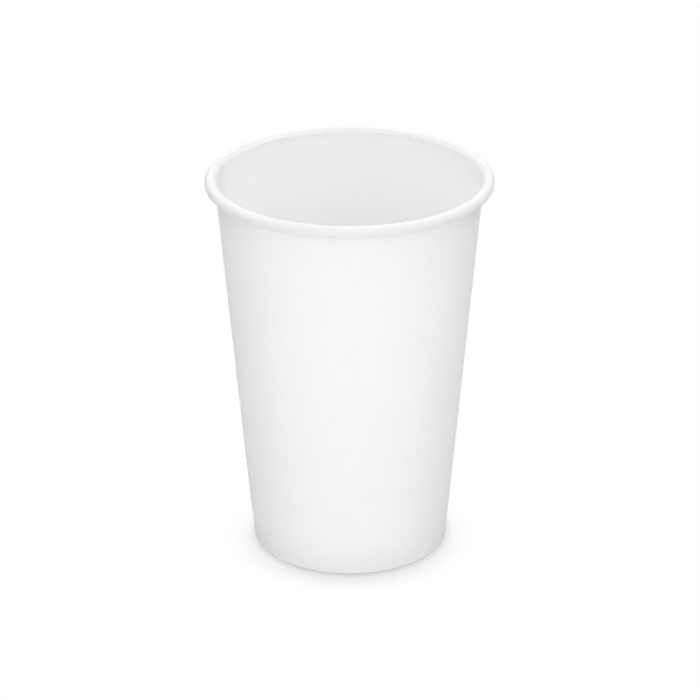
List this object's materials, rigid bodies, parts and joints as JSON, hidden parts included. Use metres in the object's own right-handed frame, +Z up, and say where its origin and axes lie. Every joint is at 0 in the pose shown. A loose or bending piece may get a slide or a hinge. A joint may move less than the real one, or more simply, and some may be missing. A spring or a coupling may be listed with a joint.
{
  "type": "paper coffee cup",
  "caption": "Tapered single-wall paper cup with a rolled rim, an overlapped side seam, and a recessed base held by the folded foot. Empty, no lid.",
  "frame": {"origin": "centre of the foot, on the surface that the cup stands on", "axes": "+Z up along the cup's axis and out of its mouth; the side seam lies at -X, its inner edge 168 degrees round from +X and its outer edge 179 degrees round"},
  "size_m": [0.08, 0.08, 0.11],
  "materials": {
    "wall_board": "smooth white cup board, matt outside and faintly glossy inside",
    "base_board": "smooth white cup board, coated on the inside"
  },
  "bodies": {
    "root": {"side_wall": "wall_board", "base_disc": "base_board"}
  },
  "joints": []
}
